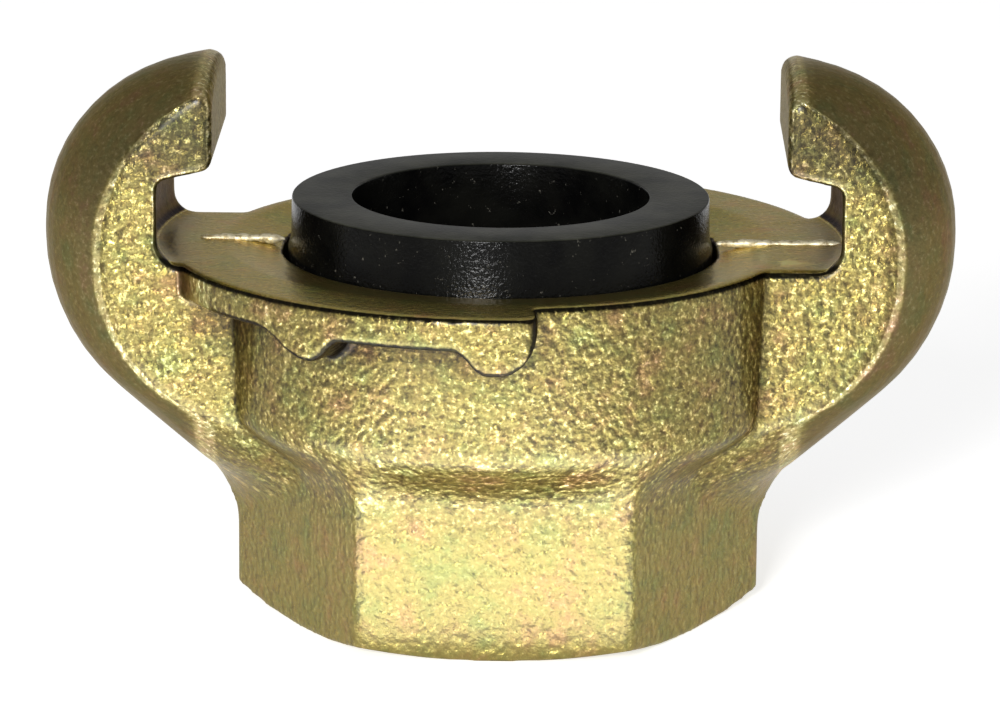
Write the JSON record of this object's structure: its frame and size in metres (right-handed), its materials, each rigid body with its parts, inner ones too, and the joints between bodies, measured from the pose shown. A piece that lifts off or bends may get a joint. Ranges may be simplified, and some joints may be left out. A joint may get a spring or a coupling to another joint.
{
  "type": "claw hose coupling",
  "caption": "Quick-connect claw coupling for compressed air: cast body with two hooked claws, cam ramps and a hexagon with a female thread, and a rubber face seal.",
  "frame": {"origin": "centre of the bottom face, on the coupling's axis", "axes": "+Z along the axis, from the threaded end to the seal; X through the two claws"},
  "size_m": [0.068, 0.0502, 0.0413],
  "materials": {
    "chromated_iron": "zinc plated and yellow chromated over a grainy sand casting, olive gold with faint red and green",
    "seal_rubber": "matte black moulded rubber"
  },
  "bodies": {
    "root": {"coupling_body": "chromated_iron", "seal_ring": "seal_rubber"}
  },
  "joints": []
}
